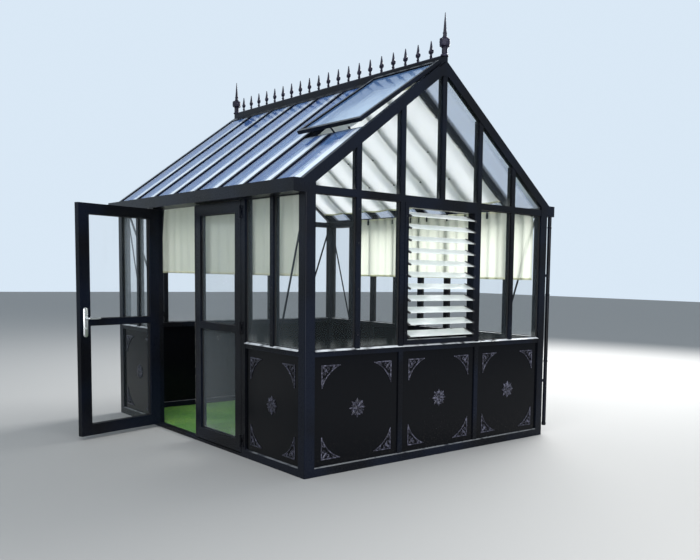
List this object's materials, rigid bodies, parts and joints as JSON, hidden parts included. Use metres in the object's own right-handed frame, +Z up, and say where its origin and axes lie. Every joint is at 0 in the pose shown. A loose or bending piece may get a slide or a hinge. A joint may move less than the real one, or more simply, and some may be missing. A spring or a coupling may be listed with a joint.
{
  "type": "glass greenhouse",
  "caption": "Walk-in pitched-roof greenhouse with a black frame, a hinged double door, a louvre window, a roof vent, ornamental ridge cresting and shade cloths.",
  "frame": {"origin": "centre of the floor at ground level, midway between the four corner posts", "axes": "+X along the front gable to its right end, +Y from the front gable to the back one, +Z up"},
  "size_m": [3.0738, 3.0731, 3.1358],
  "materials": {
    "black_coating": "gloss powder coat",
    "clear_glass": "clear, 4 mm",
    "black_panel": "gloss",
    "cast_ornament": "satin",
    "black_plastic": "matt",
    "satin_steel": "satin",
    "shade_cloth": "thin woven net",
    "turf": "short pile"
  },
  "bodies": {
    "root": {"base_rails": "black_coating", "corner_posts": "black_coating", "door_posts": "black_coating", "sill_rails": "black_coating", "gable_mullions": "black_coating", "side_mullions": "black_coating", "gutters": "black_coating", "gutter_outlet": "black_coating", "gable_cross_rails": "black_coating", "gable_bars": "black_coating", "gable_rakes": "black_coating", "ridge_beam": "black_coating", "rafters_left": "black_coating", "rafters_right": "black_coating", "roof_glass_left": "clear_glass", "roof_glass_right": "clear_glass", "vent_trimmer": "black_coating", "vent_frame": "black_coating", "vent_glass": "clear_glass", "vent_stay": "black_coating", "front_glass": "clear_glass", "back_glass": "clear_glass", "right_glass": "clear_glass", "left_glass": "clear_glass", "gable_glass": "clear_glass", "lower_panels": "black_panel", "panel_ornaments": "cast_ornament", "ridge_cresting": "black_coating", "finials": "black_coating", "louvre_frame": "black_coating", "louvre_blades": "clear_glass", "louvre_clips": "black_plastic", "door_post_hinges": "black_coating", "wind_braces": "black_coating", "downpipe": "black_coating", "roof_shade_left": "shade_cloth", "roof_shade_right": "shade_cloth", "wall_shade_left": "shade_cloth", "wall_shade_right": "shade_cloth", "floor_mat": "turf"},
    "near_leaf": {"near_leaf_frame": "black_coating", "near_leaf_glass": "clear_glass", "near_leaf_hinges": "black_coating"},
    "far_leaf": {"far_leaf_frame": "black_coating", "far_leaf_glass": "clear_glass", "far_leaf_hinges": "black_coating", "far_leaf_lock": "satin_steel"}
  },
  "joints": [
    {"name": "near_leaf_swing", "type": "hinge", "parent": "root", "child": "near_leaf", "pos_m": [-1.158, -0.712, 0], "axis": [0, 0, 1], "range_deg": [0, 105]},
    {"name": "far_leaf_swing", "type": "hinge", "parent": "root", "child": "far_leaf", "pos_m": [-1.158, 0.712, 0], "axis": [0, 0, -1], "range_deg": [-75, 30]}
  ]
}
